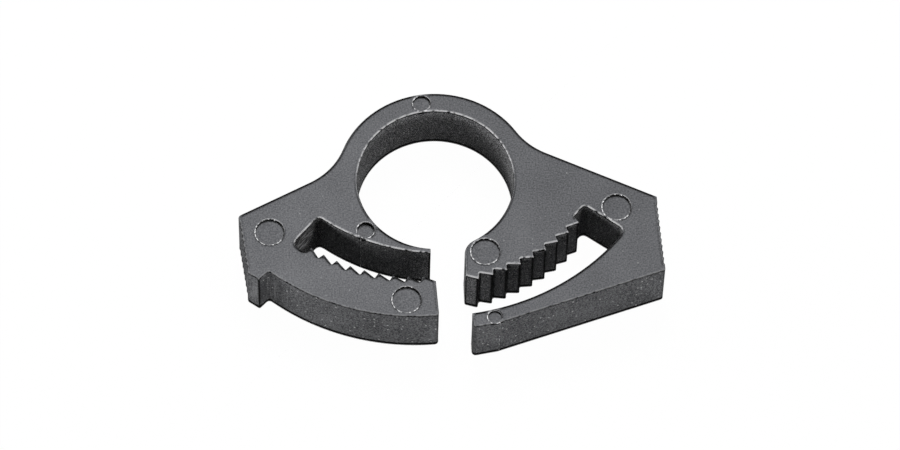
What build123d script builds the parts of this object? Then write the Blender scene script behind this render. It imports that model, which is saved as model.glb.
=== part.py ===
"""Cable clamp: a one-piece moulded clip that snaps shut round a bundle of cables.

An open ring carries two wings. Each wing ends in a curved jaw with a rack of ratchet teeth, and has
a slot beside it. Squeezing the wings slides each jaw into the other wing's slot, and the two racks
lock. The clamp is drawn as it leaves the mould, which is open.

The part lies on its flat back: Z runs through the thickness from 0, the bore's axis is Z through
the origin, the crown of the ring is towards +Y and the mouth between the jaws is towards -Y.
"""
import os
from math import cos, degrees, radians, sin, sqrt, tan

from build123d import *

# Ring
bore_diameter = 20.0
ring_wall = 2.57
thickness = 8.0
neck_radius = 9.0            # hollow where the ring runs into each wing

# Wings, each with a straight top edge that slopes down and away from the ring
wing_slope = 26.2            # degrees
left_wing_drop = 5.4         # outside of the ring down to the line of the top edge
right_wing_drop = 3.16
left_reach = 25.26           # bore axis out to the top corner of the wing's end
right_reach = 28.1
left_end_lean = 7.1          # degrees, the foot of the end leaning in
right_end_lean = 2.9         # degrees, the foot of the end leaning out
left_end_height = 8.12

# Ratchet teeth, the same on both racks so that they mesh
tooth_count = 9
tooth_pitch = 1.895          # along the rack at half the depth of the teeth
tooth_depth = 0.8
tooth_lean = 0.32            # how far a tip overhangs the foot of its steep flank
tooth_round = 0.1

# Left jaw and its slot, struck from two centres close to the crown
left_centre_offset = 2.3     # to the left of the bore's axis
left_centre_drop = 0.8       # below the top of the bore
left_slot_drop = 3.79        # bottom of the bore down to the tips of the left rack
left_jaw_depth = 5.7         # tips of the left rack down to the outer edge, below their centres
left_jaw_centre_rise = 1.1   # centre of the outer edge above that of the rack
left_first_tip = -89.65      # degrees round the left centre, of the tip nearest the mouth
left_pocket_run = 2.03       # last tooth on to the slot's blind end
left_slot_end_width = 5.2
left_jaw_end = -0.5          # X of the jaw's free end, at its top
left_jaw_end_lean = 2.3      # degrees, the foot of the free end leaning out

# Thin arm between the bore and the left slot
thin_arm_end = -1.0          # X of its free end
thin_arm_end_wall = 0.6
thin_arm_wall = 2.2          # where the bore turns halfway from the side to the mouth
thin_arm_wall_angle = -135.0
thin_arm_start = -180.0      # degrees round the bore, where the arm starts to close in
thin_arm_radius = 9.93       # side towards the bore, from there to the free end

# Right jaw and its slot, struck from two centres close to the crown
right_centre_offset = 0.67   # to the left of the bore's axis
right_centre_rise = 0.39     # above the top of the bore
right_jaw_drop = 4.19        # bottom of the bore down to the roots of the right rack
right_slot_width = 4.49      # tips of the right rack down to the long arm, below their centres
arm_centre_offset = 0.81     # of the long arm's side of the slot, to the right of the rack's centre
arm_centre_rise = 0.26
right_first_tip = -77.27     # degrees round the right centre, of the tip nearest the mouth
right_pocket_run = 2.11      # last tooth on to the slot's blind end
right_jaw_end = 3.3          # X of the jaw's free end
right_jaw_round = 2.3
slot_pocket = 0.3            # how far both blind ends run past the roots of the teeth

# Long arm below the right slot
long_arm_end = 3.92          # X of its free end
long_arm_tip = 3.25          # length of the flatter stretch at its free end
long_arm_tip_slope = 9.4     # degrees
long_arm_slope = 17.6        # degrees, from the bend to the foot of the wing's end
long_arm_wall = 2.06         # slot down to the outer edge at the bend between the two slopes

# Release lug on the outer corner of the left wing
lug_back_length = 1.75
lug_back_slope = 36.0        # degrees
lug_face_slope = 45.0        # degrees

# Grip serrations on both wing ends
serration_pitch = 0.89
serration_depth = 0.2
serration_margin = 0.4       # least plain edge left at each corner

# Rounded corners of the outline
wing_corner_round = 0.6
foot_corner_round = 0.3
jaw_corner_round = 0.45
notch_round = 0.45
slot_corner_round = 0.7
slot_far_corner_round = 0.95
edge_break = 0.08            # bevel round both flat faces, less than the rounding of the teeth

# Round marks left by the ejector pins in the top face
pin_radius = 1.8
small_pin_radius = 1.08
tip_pin_radius = 0.88
pin_depth = 0.25
neck_pin_depth = 0.4
left_pin_inset = 3.95        # end of the left wing in to the pin
left_pin_drop = 2.45         # top corner of the left wing down to the pin
right_pin_inset = 5.2
right_pin_drop = 1.4
left_jaw_pin_angle = -94.35  # degrees round the left centre
left_jaw_pin_drop = 3.37     # tips of the left rack out to the pin
right_jaw_pin_angle = -72.5  # degrees round the right centre
right_jaw_pin_rise = 2.62    # roots of the right rack in to the pin
crown_pin_angle = 96.9       # degrees round the bore
crown_pin_wall = 1.2         # bore out to the pin
neck_pin_angle = -142.5
neck_pin_wall = 1.51
tip_pin_inset = 2.85         # free end of the long arm in to the pin
tip_pin_drop = 1.16          # slot down to the pin

bore_radius = bore_diameter / 2
ring_radius = bore_radius + ring_wall
axis = Vector(0, 0)
to_arm_start = Vector(cos(radians(thin_arm_start)), sin(radians(thin_arm_start)))
thin_arm_centre = to_arm_start * (bore_radius - thin_arm_radius)
left_centre = Vector(-left_centre_offset, bore_radius - left_centre_drop)
left_tip_radius = left_centre.Y + bore_radius + left_slot_drop
left_root_radius = left_tip_radius + tooth_depth
left_jaw_centre = left_centre + Vector(0, left_jaw_centre_rise)
left_jaw_radius = left_tip_radius + left_jaw_depth + left_jaw_centre_rise
left_pocket_radius = left_root_radius + slot_pocket
right_centre = Vector(-right_centre_offset, bore_radius + right_centre_rise)
right_root_radius = right_centre.Y + bore_radius + right_jaw_drop
right_tip_radius = right_root_radius + tooth_depth
arm_centre = right_centre + Vector(arm_centre_offset, arm_centre_rise)
right_arm_radius = right_tip_radius + right_slot_width + arm_centre_rise
right_pocket_radius = right_root_radius - slot_pocket


def polar(centre, radius, angle):
    """The point at a radius and an angle in degrees round a centre."""
    return centre + Vector(cos(radians(angle)), sin(radians(angle))) * radius


def under(centre, radius, x):
    """The point at a given X on the lower half of a circle."""
    return Vector(x, centre.Y - sqrt(radius**2 - (x - centre.X) ** 2))


def arc_round(centre, start, end):
    """The short arc round a centre from one point of the circle to another."""
    middle = (start - centre).normalized() + (end - centre).normalized()
    return ThreePointArc(start, centre + middle.normalized() * (start - centre).length, end)


def outline(*edges):
    """The face inside a closed chain of edges."""
    return make_face(Curve() + list(edges))


def rounded(face, corners, radius):
    """The face with the vertices nearest to the given corners rounded."""
    nearest = [min(face.vertices(), key=lambda v: (Vector(*v) - c).length) for c in corners]
    return fillet(nearest, radius)


def wing_top(side, drop, reach):
    """Neck and top edge of a wing: the ends of the neck's arc, its centre and the outer corner."""
    along = Vector(side * cos(radians(wing_slope)), -sin(radians(wing_slope)))
    outward = Vector(side * sin(radians(wing_slope)), cos(radians(wing_slope)))
    offset = ring_radius - drop
    run = sqrt((ring_radius + neck_radius) ** 2 - (offset + neck_radius) ** 2)
    centre = along * run + outward * (offset + neck_radius)
    corner = outward * offset + along * ((side * reach - outward.X * offset) / along.X)
    return centre.normalized() * ring_radius, centre - outward * neck_radius, centre, corner


def serrated(start, end):
    """A straight edge with notches cut to the left of its direction."""
    edge = end - start
    step = edge.normalized()
    inward = Vector(-step.Y, step.X)
    count = int((edge.length - 2 * serration_margin) / serration_pitch)
    first = (edge.length - count * serration_pitch) / 2
    points = [start]
    for i in range(count):
        crest = start + step * (first + i * serration_pitch)
        points += [crest, crest + step * (serration_pitch / 2) + inward * serration_depth]
    return Polyline(*points, start + step * (edge.length - first), end)


def rack(jaw_corner, centre, radii, first_tip, side):
    """Toothed edge from the jaw's corner at the mouth to the pocket, and the angle where it ends.

    Each tooth has a long flank towards the mouth and a steep locking flank away from it. The radii
    are those of the tips, the roots and the pocket.
    """
    tip_radius, root_radius, pocket_radius = radii
    pitch_angle = side * degrees(2 * tooth_pitch / (tip_radius + root_radius))
    lean_angle = side * degrees(tooth_lean / tip_radius)
    points = [jaw_corner]
    for i in range(tooth_count):
        tip_angle = first_tip + i * pitch_angle
        root = root_radius if i < tooth_count - 1 else pocket_radius
        points.append(polar(centre, tip_radius, tip_angle))
        points.append(polar(centre, root, tip_angle + lean_angle))
    return FilletPolyline(*points, radius=tooth_round), tip_angle + lean_angle


def left_wing():
    """Left wing with its jaw and release lug, as far as the bore, before its slot is cut."""
    ring_end, neck_end, neck_centre, corner = wing_top(-1, left_wing_drop, left_reach)
    foot = corner + Vector(tan(radians(left_end_lean)), -1) * left_end_height
    back = Vector(cos(radians(lug_back_slope)), -sin(radians(lug_back_slope)))
    lug_tip = foot + back * lug_back_length
    jaw_top = under(left_centre, left_root_radius, left_jaw_end)
    lean = tan(radians(left_jaw_end_lean)) * left_jaw_depth
    jaw_foot = under(left_jaw_centre, left_jaw_radius, left_jaw_end + lean)
    face = Vector(cos(radians(lug_face_slope)), sin(radians(lug_face_slope)))
    to_tip = lug_tip - left_jaw_centre
    reach = -to_tip.dot(face) - sqrt(to_tip.dot(face) ** 2 - to_tip.length**2 + left_jaw_radius**2)
    notch = lug_tip + face * reach
    wing = outline(
        arc_round(neck_centre, ring_end, neck_end),
        Line(neck_end, corner),
        serrated(corner, foot),
        Line(foot, lug_tip),
        Line(lug_tip, notch),
        arc_round(left_jaw_centre, notch, jaw_foot),
        Line(jaw_foot, jaw_top),
        Polyline(jaw_top, (left_jaw_end, -ring_radius), (thin_arm_end, -ring_radius)),
        Polyline((thin_arm_end, -ring_radius), (thin_arm_end, 0), ring_end),
    )
    wing = rounded(wing, [corner], wing_corner_round)
    wing = rounded(wing, [notch], notch_round)
    return rounded(wing, [jaw_foot], jaw_corner_round)


def right_wing():
    """Right wing with its jaw and long arm, as far as the bore, before its slot is cut."""
    ring_end, neck_end, neck_centre, corner = wing_top(1, right_wing_drop, right_reach)
    arm_tip = under(arm_centre, right_arm_radius, long_arm_end)
    over_bend = under(arm_centre, right_arm_radius, long_arm_end + long_arm_tip)
    bend = over_bend - Vector(0, long_arm_wall)
    arm_foot = bend - Vector(1, tan(radians(long_arm_tip_slope))) * long_arm_tip
    rise = tan(radians(long_arm_slope))
    lean = tan(radians(right_end_lean))
    height = (corner.Y - bend.Y - rise * (corner.X - bend.X)) / (1 + rise * lean)
    foot = corner + Vector(lean, -1) * height
    wing = outline(
        Line(arm_tip, arm_foot),
        Line(arm_foot, bend),
        Line(bend, foot),
        serrated(foot, corner),
        Line(corner, neck_end),
        arc_round(neck_centre, neck_end, ring_end),
        Polyline(ring_end, (right_jaw_end, 0), (right_jaw_end, arm_tip.Y), arm_tip),
    )
    wing = rounded(wing, [foot], foot_corner_round)
    return rounded(wing, [arm_foot], jaw_corner_round)


def bore(mouth_middle):
    """Round bore whose side along the thin arm closes in a little towards the mouth."""
    arm_start = polar(axis, bore_radius, thin_arm_start)
    arm_end = under(thin_arm_centre, thin_arm_radius, mouth_middle)
    ring_end = under(axis, bore_radius, mouth_middle)
    return outline(
        ThreePointArc(ring_end, Vector(0, bore_radius), arm_start),
        arc_round(thin_arm_centre, arm_start, arm_end),
        Line(arm_end, ring_end),
    )


def left_slot():
    """Slot between the thin arm and the left rack, open at the mouth."""
    arm_end = under(thin_arm_centre, thin_arm_radius, thin_arm_end) - Vector(0, thin_arm_end_wall)
    arm_middle = polar(axis, bore_radius + thin_arm_wall, thin_arm_wall_angle)
    jaw_corner = under(left_centre, left_root_radius, left_jaw_end)
    radii = (left_tip_radius, left_root_radius, left_pocket_radius)
    teeth, teeth_end = rack(jaw_corner, left_centre, radii, left_first_tip, -1)
    pocket = polar(left_centre, left_pocket_radius, teeth_end)
    blind_end = teeth_end - degrees(left_pocket_run / left_pocket_radius)
    inner_corner = polar(left_centre, left_pocket_radius - left_slot_end_width, blind_end)
    outer_corner = polar(left_centre, left_pocket_radius, blind_end)
    slot = outline(
        ThreePointArc(arm_end, arm_middle, inner_corner),
        Line(inner_corner, outer_corner),
        arc_round(left_centre, outer_corner, pocket),
        teeth,
        Polyline(jaw_corner, (left_jaw_end, arm_end.Y), arm_end),
    )
    slot = rounded(slot, [inner_corner], slot_corner_round)
    return rounded(slot, [outer_corner], slot_far_corner_round)


def right_slot():
    """Slot between the right rack and the long arm, open at the mouth."""
    arm_tip = under(arm_centre, right_arm_radius, right_jaw_end)
    jaw_corner = under(right_centre, right_root_radius, right_jaw_end)
    radii = (right_tip_radius, right_root_radius, right_pocket_radius)
    teeth, teeth_end = rack(jaw_corner, right_centre, radii, right_first_tip, 1)
    pocket = polar(right_centre, right_pocket_radius, teeth_end)
    blind_end = teeth_end + degrees(right_pocket_run / right_pocket_radius)
    inner_corner = polar(right_centre, right_pocket_radius, blind_end)
    outward = polar(axis, 1, blind_end)
    to_corner = inner_corner - arm_centre
    run = sqrt(right_arm_radius**2 - to_corner.length**2 + to_corner.dot(outward) ** 2)
    outer_corner = inner_corner + outward * (run - to_corner.dot(outward))
    slot = outline(
        teeth,
        arc_round(right_centre, pocket, inner_corner),
        Line(inner_corner, outer_corner),
        arc_round(arm_centre, outer_corner, arm_tip),
        Line(arm_tip, jaw_corner),
    )
    slot = rounded(slot, [inner_corner], slot_corner_round)
    return rounded(slot, [outer_corner], slot_far_corner_round)


def plan():
    """Outline of the whole clamp, seen from above."""
    mouth_width = right_jaw_end - thin_arm_end
    mouth_middle = (right_jaw_end + thin_arm_end) / 2
    mouth = Pos(mouth_middle, -ring_radius / 2) * Rectangle(mouth_width, ring_radius)
    clamp = Circle(ring_radius) - mouth + left_wing() + right_wing()
    clamp = clamp - bore(mouth_middle) - left_slot() - right_slot()
    jaw_lip = under(axis, bore_radius, right_jaw_end)
    return rounded(clamp, [jaw_lip], right_jaw_round)


def pin_mark(centre, radius, depth=pin_depth):
    """Shallow round mark sunk into the top face."""
    mark = Cylinder(radius, 2 * depth, align=(Align.CENTER, Align.CENTER, Align.MIN))
    return Pos(centre.X, centre.Y, thickness - depth) * mark


def pin_marks():
    """The seven marks, each where the moulding is thick enough to be pushed."""
    left_jaw_pin_radius = left_tip_radius + left_jaw_pin_drop
    right_jaw_pin_radius = right_root_radius - right_jaw_pin_rise
    *_, left_corner = wing_top(-1, left_wing_drop, left_reach)
    *_, right_corner = wing_top(1, right_wing_drop, right_reach)
    slot_edge = under(arm_centre, right_arm_radius, long_arm_end + tip_pin_inset)
    return [
        pin_mark(left_corner + Vector(left_pin_inset, -left_pin_drop), pin_radius),
        pin_mark(right_corner - Vector(right_pin_inset, right_pin_drop), pin_radius),
        pin_mark(polar(left_centre, left_jaw_pin_radius, left_jaw_pin_angle), pin_radius),
        pin_mark(polar(right_centre, right_jaw_pin_radius, right_jaw_pin_angle), pin_radius),
        pin_mark(polar(axis, bore_radius + crown_pin_wall, crown_pin_angle), small_pin_radius),
        pin_mark(
            polar(axis, bore_radius + neck_pin_wall, neck_pin_angle), small_pin_radius, neck_pin_depth
        ),
        pin_mark(slot_edge - Vector(0, tip_pin_drop), tip_pin_radius),
    ]


clamp = extrude(plan(), thickness)
rims = [edge for face in clamp.faces().filter_by(Plane.XY) for edge in face.edges()]
clamp = chamfer(rims, edge_break)
for mark in pin_marks():
    clamp -= mark

os.makedirs("parts", exist_ok=True)
export_step(clamp, "parts/clamp.step")
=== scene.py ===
"""One-piece plastic cable clamp, lying flat and open on a white table as it left the mould."""
from math import cos, pi, radians, sin

import bmesh
import bpy
from mathutils import Matrix, Vector, noise


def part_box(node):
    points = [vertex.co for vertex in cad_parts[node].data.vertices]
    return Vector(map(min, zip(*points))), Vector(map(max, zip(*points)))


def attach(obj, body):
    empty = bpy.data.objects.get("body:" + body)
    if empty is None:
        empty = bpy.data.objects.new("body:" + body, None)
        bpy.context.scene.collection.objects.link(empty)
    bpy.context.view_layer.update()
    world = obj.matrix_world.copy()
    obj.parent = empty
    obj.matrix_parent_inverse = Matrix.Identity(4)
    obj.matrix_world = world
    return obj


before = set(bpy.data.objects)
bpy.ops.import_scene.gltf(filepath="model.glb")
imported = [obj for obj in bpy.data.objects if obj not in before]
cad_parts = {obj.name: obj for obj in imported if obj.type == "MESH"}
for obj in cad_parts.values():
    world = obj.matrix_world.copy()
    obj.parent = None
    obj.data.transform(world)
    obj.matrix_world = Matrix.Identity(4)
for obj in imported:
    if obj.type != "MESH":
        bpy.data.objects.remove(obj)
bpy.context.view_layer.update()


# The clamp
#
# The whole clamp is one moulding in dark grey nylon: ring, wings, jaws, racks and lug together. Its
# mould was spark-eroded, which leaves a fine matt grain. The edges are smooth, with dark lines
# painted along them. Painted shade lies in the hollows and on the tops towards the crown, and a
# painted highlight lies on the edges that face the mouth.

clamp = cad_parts["clamp"]
up = (0, 0, 1)
down = (0, 0, -1)
towards_mouth = (0, -1, 0)
towards_crown = (0.5, 0.85, 0)
rightward = (1, 0, 0)


class Nodes:
    """A material's nodes, added and joined up in one line each."""

    def __init__(self, name):
        self.material = bpy.data.materials.new(name)
        self.material.use_nodes = True
        self.tree = self.material.node_tree
        self.surface = self.tree.nodes["Principled BSDF"]
        self.place = self.add("ShaderNodeTexCoord").outputs["Object"]

    def add(self, kind, inputs=None, **settings):
        node = self.tree.nodes.new(kind)
        for name, value in settings.items():
            setattr(node, name, value)
        for name, value in (inputs or {}).items():
            self.set(node, name, value)
        return node

    def set(self, node, name, value):
        if isinstance(value, bpy.types.NodeSocket):
            self.tree.links.new(value, node.inputs[name])
        else:
            node.inputs[name].default_value = value

    def maths(self, operation, a, b=0.0):
        return self.add("ShaderNodeMath", {0: a, 1: b}, operation=operation).outputs[0]

    def times(self, first, *others):
        for other in others:
            first = self.maths("MULTIPLY", first, other)
        return first

    def ramp(self, value, low, high):
        """0 at low and 1 at high, or the other way round where low is the larger."""
        inputs = {"Value": value, "From Min": low, "From Max": high}
        return self.add("ShaderNodeMapRange", inputs).outputs["Result"]

    def mix(self, amount, a, b):
        node = self.add("ShaderNodeMix", {"Factor": amount, "A": a, "B": b}, data_type="RGBA")
        return node.outputs["Result"]

    def noise(self, size, detail=2.0, place=None):
        inputs = {"Vector": place or self.place, "Scale": 1 / size, "Detail": detail}
        return self.add("ShaderNodeTexNoise", inputs).outputs["Fac"]

    def dot(self, vector, direction):
        inputs = {0: vector, 1: direction}
        return self.add("ShaderNodeVectorMath", inputs, operation="DOT_PRODUCT").outputs["Value"]

    def distance(self, point):
        inputs = {0: self.place, 1: point}
        return self.add("ShaderNodeVectorMath", inputs, operation="DISTANCE").outputs["Value"]

    def near(self, point, radius):
        """1 at a point, falling to 0 at a radius."""
        return self.ramp(self.distance(point), radius, radius * 0.6)

    def edge(self, width, normal=None):
        """1 at an outer corner of the solid, falling to 0 at a width from it.

        Given a normal, only corners on the side that it points away from count.
        """
        reach = {"Distance": width}
        inward = self.add("ShaderNodeAmbientOcclusion", reach, inside=True, samples=12)
        if normal:
            x, y, z = normal
            facing = self.add("ShaderNodeCombineXYZ", {"X": x, "Y": y, "Z": z}).outputs[0]
            self.set(inward, "Normal", facing)
        return self.ramp(inward.outputs["AO"], 0.88, 0.78)


nylon_dark = (0.101, 0.103, 0.110, 1)
nylon_light = (0.210, 0.213, 0.224, 1)
wall_dark = (0.058, 0.059, 0.062, 1)
wall_light = (0.240, 0.243, 0.252, 1)
black = (0, 0, 0, 1)
grain_size = 0.00020
mottle_size = 0.006
mottle_share = 0.2
crown_shade = 0.2


def grained(n, grain, upright):
    """Grain, with more contrast on the walls. The tops get painted shade towards the crown."""
    mottle = n.times(n.noise(mottle_size), mottle_share)
    tone = n.maths("ADD", n.times(grain, 1 - mottle_share), mottle)
    # painted shade on the tops, deepening towards the crown
    by_crown = n.ramp(n.dot(n.place, towards_crown), -0.020, 0.012)
    top_colour = n.mix(n.ramp(tone, 0.34, 0.66), nylon_dark, nylon_light)
    top_colour = n.mix(n.times(by_crown, crown_shade), top_colour, black)
    wall_colour = n.mix(n.ramp(tone, 0.38, 0.62), wall_dark, wall_light)
    return n.mix(upright, top_colour, wall_colour)


# painted shade colour, used in the notch, at the slot's end, inside the jaws and in the crevices
painted_shade_colour = (0.02, 0.02, 0.021, 1)
# pale colour of the scratches and flash, and of the painted highlight on the edges
pale_mark_and_highlight_colour = (0.80, 0.80, 0.81, 1)
notch = Vector((-0.0216, -0.0124, 0.004))
notch_reach = 0.0034
notch_side_shade = 0.5
draw_mark_width = 0.0004
draw_stretch = (1, 1, 0.03)
draw_strength = 0.03
notch_draw_strength = 0.22


def with_draw_marks_and_lug_shade(n, colour, draw_marks, normal, upright):
    """Upright scratches from drawing the mould off: faint on all walls, and plain in the notch. The
    lug's side in the notch gets painted shade.
    """
    in_notch = n.near(notch, notch_reach)
    strength = n.maths("ADD", n.times(in_notch, notch_draw_strength), draw_strength)
    colour = n.mix(n.times(n.ramp(draw_marks, 0.48, 0.70), upright, strength), colour, pale_mark_and_highlight_colour)
    # painted shade on the lug's side that faces into the notch
    lug_side = n.times(in_notch, n.ramp(n.dot(normal, rightward), 0.5, 0.8))
    return n.mix(n.times(lug_side, notch_side_shade), colour, painted_shade_colour)


rough_patch_colour = (0.95, 0.95, 0.96, 1)
pocket_wall = Vector((-0.0168, -0.0067, 0.004))
pocket_wall_faces = Vector((0.738, -0.674, 0))
pocket_reach = 0.0060
pocket_patch = Vector((-0.0170, -0.0069, 0.0052))
pocket_patch_reach = 0.0022
scratch_width = 0.0003
scratch_lean = radians(35)
scratch_stretch = (0.25, 0.25, 1)
pocket_shade = 0.5


def scratched_patch(n, normal):
    """The wall that ends the left slot, its rough patch, and the scratches that lean over it."""
    on_wall = n.ramp(n.dot(normal, pocket_wall_faces), 0.6, 0.9)
    pocket = n.times(n.near(pocket_wall, pocket_reach), on_wall)
    patch = n.times(pocket, n.near(pocket_patch, pocket_patch_reach))
    lean = {"Vector": n.place, "Rotation": (0, scratch_lean, 0), "Scale": scratch_stretch}
    scratches = n.noise(scratch_width, 3.0, n.add("ShaderNodeMapping", lean).outputs[0])
    return pocket, patch, scratches


left_jaw_centre = Vector((-0.0023, 0.0092, 0.004))
left_jaw_inside = 0.0248
right_jaw_centre = Vector((0.0001, 0.0107, 0.004))
right_jaw_inside = 0.0306
bore_centre = Vector((0, 0, 0.004))
inside_blend = 0.0002
jaws_part_x = 0.0010
jaws_part_blend = 0.0005
bore_wall_inside = 0.0108
bore_wall_blend = 0.0004
bore_wall_shade = 0.55
core_wall_shade = 0.28
sparkle_size = 0.00012
sparkle_strength = 0.50


def inside_the_jaws(n):
    """1 on what the outer arcs of the two jaws enclose: the bore, the slots and the racks."""
    from_left, from_right = n.distance(left_jaw_centre), n.distance(right_jaw_centre)
    by_left_jaw = n.ramp(from_left, left_jaw_inside + inside_blend, left_jaw_inside)
    by_right_jaw = n.ramp(from_right, right_jaw_inside + inside_blend, right_jaw_inside)
    across = n.add("ShaderNodeSeparateXYZ", {0: n.place}).outputs["X"]
    left_side = n.ramp(across, jaws_part_x + jaws_part_blend, jaws_part_x)
    return n.mix(left_side, by_right_jaw, by_left_jaw)


def with_core_shade_and_specks(n, colour, normal, upright, enclosed):
    """Painted shade on the walls inside the jaws that face the mouth, the bore's most of all, with
    fine pale specks.
    """
    # painted shade on the walls inside the jaws that face the mouth
    faces_mouth = n.ramp(n.dot(normal, towards_mouth), -0.3, 0.0)
    core_wall = n.times(upright, faces_mouth, enclosed)
    from_bore = n.distance(bore_centre)
    in_bore = n.ramp(from_bore, bore_wall_inside + bore_wall_blend, bore_wall_inside)
    bore_wall = n.times(core_wall, in_bore, bore_wall_shade)
    core_shade = n.maths("MAXIMUM", bore_wall, n.times(core_wall, core_wall_shade))
    colour = n.mix(core_shade, colour, painted_shade_colour)
    sparkle = n.times(n.ramp(n.noise(sparkle_size, 0.0), 0.50, 0.70), core_wall)
    return n.mix(n.times(sparkle, sparkle_strength), colour, rough_patch_colour)


dust_colour = (0.90, 0.90, 0.90, 1)
dust_cell = 0.0006
dust_strength = 0.3
more_dust_upright = 0.30
paler_dust_upright = 0.5


def with_dust(n, colour, upright):
    """Single specks of dust, more of them and paler on the walls."""
    cells = n.add("ShaderNodeTexVoronoi", {"Vector": n.place, "Scale": 1 / dust_cell})
    picked = n.add("ShaderNodeSeparateColor", {"Color": cells.outputs["Color"]}).outputs["Red"]
    picked = n.maths("ADD", picked, n.times(upright, more_dust_upright))
    speck = n.times(n.ramp(cells.outputs["Distance"], 0.22, 0.10), n.ramp(picked, 0.88, 1.05))
    strength = n.maths("ADD", n.times(upright, paler_dust_upright), dust_strength)
    return n.mix(n.times(speck, strength), colour, dust_colour)


# painted dark lines along the edges, and painted shade on the flash lips
painted_dark_colour = (0.005, 0.005, 0.005, 1)
towards_back = (0, 0.9, 0.45)
rim_width = 0.00024
top_edge_width = 0.00058
top_front_width = 0.00070
wall_corner_width = 0.00038
wall_head_width = 0.00040
wall_foot_width = 0.00062
highlight_breakup_size = 0.0006
rim_strength = 0.9
rim_beside_bevel = 0.5


def with_dark_lines_and_highlights(n, colour, normal, lying, enclosed):
    """Dark lines painted along the edges, painted contact shadow at the feet of the walls, and a
    painted highlight, broken up, on the edges that face the mouth.
    """
    flat = n.ramp(lying, 0.90, 0.95)
    not_front = n.maths("SUBTRACT", 1.0, n.edge(top_front_width, towards_back))
    on_top = n.times(n.edge(top_edge_width), not_front)
    # painted contact shadow along the foot of every wall
    foot = n.edge(wall_foot_width, up)
    head = n.times(n.edge(wall_head_width, down), enclosed)
    on_wall = n.maths("MAXIMUM", n.edge(wall_corner_width), n.maths("MAXIMUM", foot, head))
    colour = n.mix(n.mix(flat, on_wall, on_top), colour, painted_dark_colour)

    # painted highlight on the bevels and rims that face the mouth
    bevel = n.times(n.ramp(lying, 0.35, 0.45), n.ramp(lying, 0.95, 0.85))
    front_bevel = n.times(bevel, n.ramp(n.dot(normal, towards_mouth), 0.0, 0.2))
    beside_it = n.times(flat, n.edge(rim_width, towards_back), rim_beside_bevel)
    rim = n.maths("MAXIMUM", front_bevel, beside_it)
    highlight_breakup = n.ramp(n.noise(highlight_breakup_size, 3.0), 0.34, 0.50)
    painted_highlight = n.times(rim, highlight_breakup, n.ramp(enclosed, -0.35, 1.0))
    return n.mix(n.times(painted_highlight, rim_strength), colour, pale_mark_and_highlight_colour)


crevice_reach = 0.00025
grain_height = 0.00004
scratch_depth = 3.0          # in grain heights, as is the next
draw_mark_depth = 0.3


def moulded_nylon():
    """Dark grey nylon as moulded, with all that the mould and handling left on it."""
    n = Nodes("moulded_nylon")
    normal = n.add("ShaderNodeNewGeometry").outputs["Normal"]
    lying = n.maths("ABSOLUTE", n.dot(normal, up))
    upright = n.ramp(lying, 0.4, 0.3)
    grain = n.noise(grain_size)
    drawn = n.add("ShaderNodeVectorMath", {0: n.place, 1: draw_stretch}, operation="MULTIPLY")
    draw_marks = n.noise(draw_mark_width, 3.0, drawn.outputs[0])
    pocket, patch, scratches = scratched_patch(n, normal)
    enclosed = inside_the_jaws(n)

    colour = grained(n, grain, upright)
    colour = with_draw_marks_and_lug_shade(n, colour, draw_marks, normal, upright)
    # painted shade on the wall that ends the left slot
    colour = n.mix(n.times(pocket, pocket_shade), colour, painted_shade_colour)
    colour = n.mix(n.times(patch, n.ramp(scratches, 0.46, 0.56)), colour, rough_patch_colour)
    colour = with_core_shade_and_specks(n, colour, normal, upright, enclosed)
    colour = with_dust(n, colour, upright)
    colour = with_dark_lines_and_highlights(n, colour, normal, lying, enclosed)
    # painted shade in crevices, corners and grooves
    open_air = n.add("ShaderNodeAmbientOcclusion", {"Distance": crevice_reach}, samples=8)
    colour = n.mix(n.ramp(open_air.outputs["AO"], 0.75, 0.35), colour, painted_shade_colour)

    height = n.maths("ADD", grain, n.times(scratches, patch, scratch_depth))
    height = n.maths("ADD", height, n.times(draw_marks, upright, draw_mark_depth))
    bump = n.add("ShaderNodeBump", {"Height": height, "Strength": 1.0, "Distance": grain_height})

    n.set(n.surface, "Base Color", colour)
    n.set(n.surface, "Roughness", n.ramp(grain, -1.4, 1.4))
    n.set(n.surface, "Specular IOR Level", 0.01)
    n.set(n.surface, "Normal", bump.outputs["Normal"])
    return n.material


nylon = moulded_nylon()
clamp.data.materials.clear()
clamp.data.materials.append(nylon)


# The flash round the ejector pins
#
# Each pin leaves a round mark in the top face, and the nylon that crept up beside the pin leaves a
# thin broken lip round the mark. The lip is part of the moulding and stands a few hundredths proud.

lip_width = 0.00011
lip_height = 0.00003
lip_section = ((0, 0), (0.4, 1), (1, 0))     # across and up, in lip widths and heights
lip_steps = 96
lip_bumps_per_metre = 2500
lip_mean = 0.6               # this and the next two are shares of lip_height
lip_swing = 1.2
lip_least = 0.1
mark_floor_above = 0.001     # a mark's floor lies over this height
mark_floor_below = 0.00005   # and deeper than this under the top


def pin_marks(mesh):
    """The middle and the radius of each round mark sunk into the top face."""
    marks = bmesh.new()
    marks.from_mesh(mesh)
    top = max(vert.co.z for vert in marks.verts)
    level = [face for face in marks.faces if face.normal.z > 0.99]
    low, high = mark_floor_above, top - mark_floor_below
    floors = [face for face in level if low < face.calc_center_median().z < high]
    found = []
    while floors:
        joined = {floors[0]}
        reached = [floors[0]]
        while reached:
            for edge in reached.pop().edges:
                fresh = [face for face in edge.link_faces if face not in joined]
                joined.update(fresh)
                reached += fresh
        floors = [face for face in floors if face not in joined]
        rim = {vert.co.copy().freeze() for face in joined for vert in face.verts}
        middle = sum(rim, Vector()) / len(rim)
        radius = max((point - middle).length for point in rim)
        found.append((Vector((middle.x, middle.y, top)), radius))
    marks.free()
    return found


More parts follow.
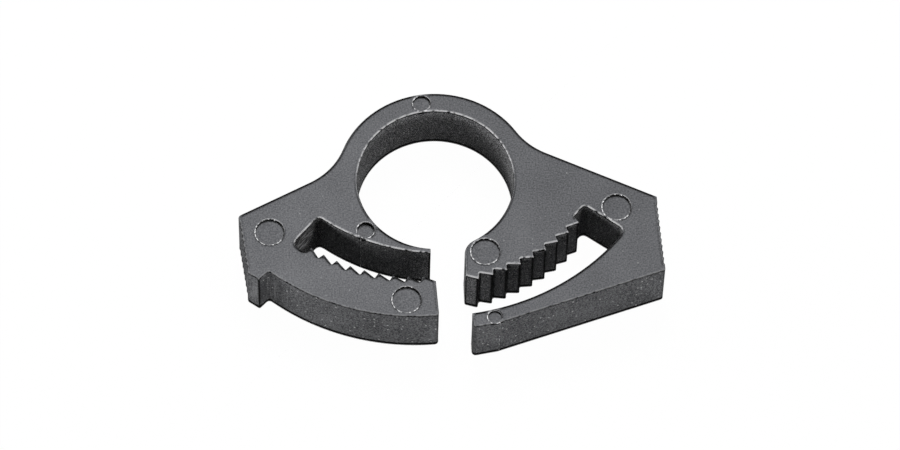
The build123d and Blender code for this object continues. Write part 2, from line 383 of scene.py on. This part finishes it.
def flash_lip(name, middle, radius):
    """A thin ring of uneven height round one mark."""
    ring = bmesh.new()
    loops = []
    for step in range(lip_steps):
        angle = 2 * pi * step / lip_steps
        out = Vector((cos(angle), sin(angle), 0))
        rough = noise.noise((middle + out * radius) * lip_bumps_per_metre)
        crest = lip_height * max(lip_least, lip_mean + lip_swing * rough)
        section = [(radius + lip_width * x, crest * z) for x, z in lip_section]
        loops.append([ring.verts.new(out * far + Vector((0, 0, high))) for far, high in section])
    for here, beyond in zip(loops, loops[1:] + loops[:1]):
        for i in range(len(lip_section)):
            j = (i + 1) % len(lip_section)
            ring.faces.new((here[i], here[j], beyond[j], beyond[i]))
    bmesh.ops.recalc_face_normals(ring, faces=ring.faces)
    mesh = bpy.data.meshes.new(name)
    ring.to_mesh(mesh)
    ring.free()
    mesh.materials.append(flash)
    lip = bpy.data.objects.new(name, mesh)
    lip.location = middle
    bpy.context.scene.collection.objects.link(lip)
    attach(lip, "root")


tear_size = 0.0004
shade_breakup_size = 0.0005
flash_grain_size = 0.0001
flash_grain_height = 0.00002
shaded_side_towards = (0.64, 0.77, 0)


def thin_flash():
    """The same nylon where it is thin: torn and pale in places, with painted shade on its back
    right side.
    """
    n = Nodes("thin_flash")
    colour = n.mix(n.ramp(n.noise(tear_size, 3.0), 0.47, 0.56), nylon_dark, pale_mark_and_highlight_colour)
    # painted shade on the back right side of each lip
    shaded_side = n.ramp(n.dot(n.place, shaded_side_towards), 0.0001, 0.0006)
    shaded_side = n.times(shaded_side, n.ramp(n.noise(shade_breakup_size), 0.62, 0.55))
    colour = n.mix(shaded_side, colour, painted_dark_colour)
    relief = {"Height": n.noise(flash_grain_size), "Strength": 0.6, "Distance": flash_grain_height}
    bump = n.add("ShaderNodeBump", relief)
    n.set(n.surface, "Base Color", colour)
    n.set(n.surface, "Roughness", 0.6)
    n.set(n.surface, "Specular IOR Level", 0.2)
    n.set(n.surface, "Normal", bump.outputs["Normal"])
    return n.material


flash = thin_flash()
for number, (middle, radius) in enumerate(pin_marks(clamp.data), 1):
    flash_lip(f"pin_lip_{number}", middle, radius)


# The witness lines
#
# Where two blocks of the mould meet, the plastic creeps into the joint and leaves a fine upright
# line. One is on the front of the long arm at its bend, the other on the thin arm in its slot.

line_width = 0.00008
line_height = 0.00003
line_end_gap = 0.0001


def witness_line(name, beside, towards):
    """A fine ridge up the wall that a level line from beside, heading towards, runs into."""
    low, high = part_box("clamp")
    middle = Vector((*beside, (low.z + high.z) / 2))
    _, wall, outward, _ = clamp.ray_cast(middle, Vector((*towards, 0)))
    along = outward.cross(Vector((0, 0, 1))) * (line_width / 2)
    across = [wall - along, wall + outward * line_height, wall + along]
    heights = (low.z + line_end_gap, high.z - line_end_gap)
    ends = [Vector((p.x, p.y, z)) for z in heights for p in across]
    mesh = bpy.data.meshes.new(name)
    mesh.from_pydata(ends, [], [(0, 1, 4, 3), (1, 2, 5, 4), (2, 0, 3, 5), (2, 1, 0), (3, 4, 5)])
    mesh.materials.append(flash)
    line = bpy.data.objects.new(name, mesh)
    bpy.context.scene.collection.objects.link(line)
    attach(line, "root")


witness_line("witness_line_long_arm", (0.00738, -0.0250), (0, 1))
witness_line("witness_line_thin_arm", (-0.0105, -0.0110), (0.25, 1))


# The table and the light
#
# A white table under four softboxes. The ones behind and to the right stand high and light the
# tops. The ones to the left and in front stand low and light the walls, and the insides stay dark.

white = (1, 1, 1, 1)
table_grey = (0.55, 0.55, 0.55, 1)
contact_shadow_colour = (0.05, 0.05, 0.05, 1)
contact_shadow_reach = 0.0003
table_glow = 0.985
room_strength = 0.03


def white_table():
    """White to the camera and in reflections, and still a surface that takes the clamp's shadow.
    Its glow carries a painted contact shadow beside the clamp.
    """
    n = Nodes("white_table")
    paths = n.add("ShaderNodeLightPath").outputs
    seen = n.maths("MAXIMUM", paths["Is Camera Ray"], paths["Is Glossy Ray"])
    seen = n.maths("MAXIMUM", seen, paths["Is Transmission Ray"])
    n.set(n.surface, "Base Color", n.mix(seen, table_grey, white))
    n.set(n.surface, "Roughness", 0.8)
    # painted contact shadow in the table's glow beside the clamp
    open_air = n.add("ShaderNodeAmbientOcclusion", {"Distance": contact_shadow_reach}, samples=16)
    contact_shadow = n.mix(n.ramp(open_air.outputs["AO"], 0.50, 0.62), contact_shadow_colour, white)
    glow = n.add("ShaderNodeEmission", {"Color": contact_shadow, "Strength": 1.0})
    shaders = {0: n.times(seen, table_glow), 1: n.surface.outputs[0], 2: glow.outputs[0]}
    mixed = n.add("ShaderNodeMixShader", shaders)
    n.set(n.tree.nodes["Material Output"], "Surface", mixed.outputs[0])
    return n.material


table_half = 1.5
table_gap = 0.00002
table_mesh = bpy.data.meshes.new("table")
corner_signs = ((-1, -1), (1, -1), (1, 1), (-1, 1))
table_corners = [(x * table_half, y * table_half, 0) for x, y in corner_signs]
table_mesh.from_pydata(table_corners, [], [(0, 1, 2, 3)])
table = bpy.data.objects.new("table", table_mesh)
table.location.z = -table_gap
table_mesh.materials.append(white_table())
bpy.context.scene.collection.objects.link(table)

room = bpy.data.worlds.new("room")
room.use_nodes = True
room_nodes = room.node_tree
room_light = room_nodes.nodes["Background"]
room_light.inputs["Color"].default_value = white
room_light.inputs["Strength"].default_value = room_strength
bpy.context.scene.world = room


def softbox(name, place, width, height, watts):
    """An area light aimed at the middle of the clamp."""
    lamp = bpy.data.lights.new(name, "AREA")
    lamp.shape = "RECTANGLE"
    lamp.size = width
    lamp.size_y = height
    lamp.energy = watts
    box = bpy.data.objects.new(name, lamp)
    box.location = place
    box.rotation_euler = (-Vector(place)).to_track_quat("-Z", "Y").to_euler()
    bpy.context.scene.collection.objects.link(box)


softbox("back_softbox", (0.0, 0.25, 0.35), 0.16, 0.16, 1.55)
softbox("right_softbox", (0.22, 0.03, 0.40), 0.16, 0.16, 0.60)
softbox("left_softbox", (-0.42, 0.07, 0.105), 0.16, 0.12, 0.98)
softbox("front_softbox", (0.06, -0.45, 0.045), 0.80, 0.04, 0.82)


# The camera
#
# A long lens, looking down steeply at the clamp from the jaws' side. Its height, turn, roll,
# distance and aim were fitted to the clamp's outline.

camera_height = radians(62.06)
camera_turn = radians(3.92)
camera_roll = radians(1.81)
camera_distance = 0.78645
camera_aim = Vector((0.001900, -0.002364, 0))

heading = Vector((sin(camera_turn), cos(camera_turn), 0))
looking = heading * cos(camera_height) - Vector((0, 0, sin(camera_height)))
level = Vector((cos(camera_turn), -sin(camera_turn), 0))
upward = level.cross(looking)
right_side = level * cos(camera_roll) + upward * sin(camera_roll)
upward = upward * cos(camera_roll) - level * sin(camera_roll)
camera_data = bpy.data.cameras.new("camera")
camera_data.lens = 244.8
camera_data.sensor_width = 36
camera_data.clip_start = 0.01
camera = bpy.data.objects.new("camera", camera_data)
axes = Matrix((right_side, upward, -looking)).transposed()
camera.matrix_world = Matrix.Translation(camera_aim - looking * camera_distance) @ axes.to_4x4()
bpy.context.scene.collection.objects.link(camera)
bpy.context.scene.camera = camera
bpy.context.scene.view_settings.view_transform = "Standard"
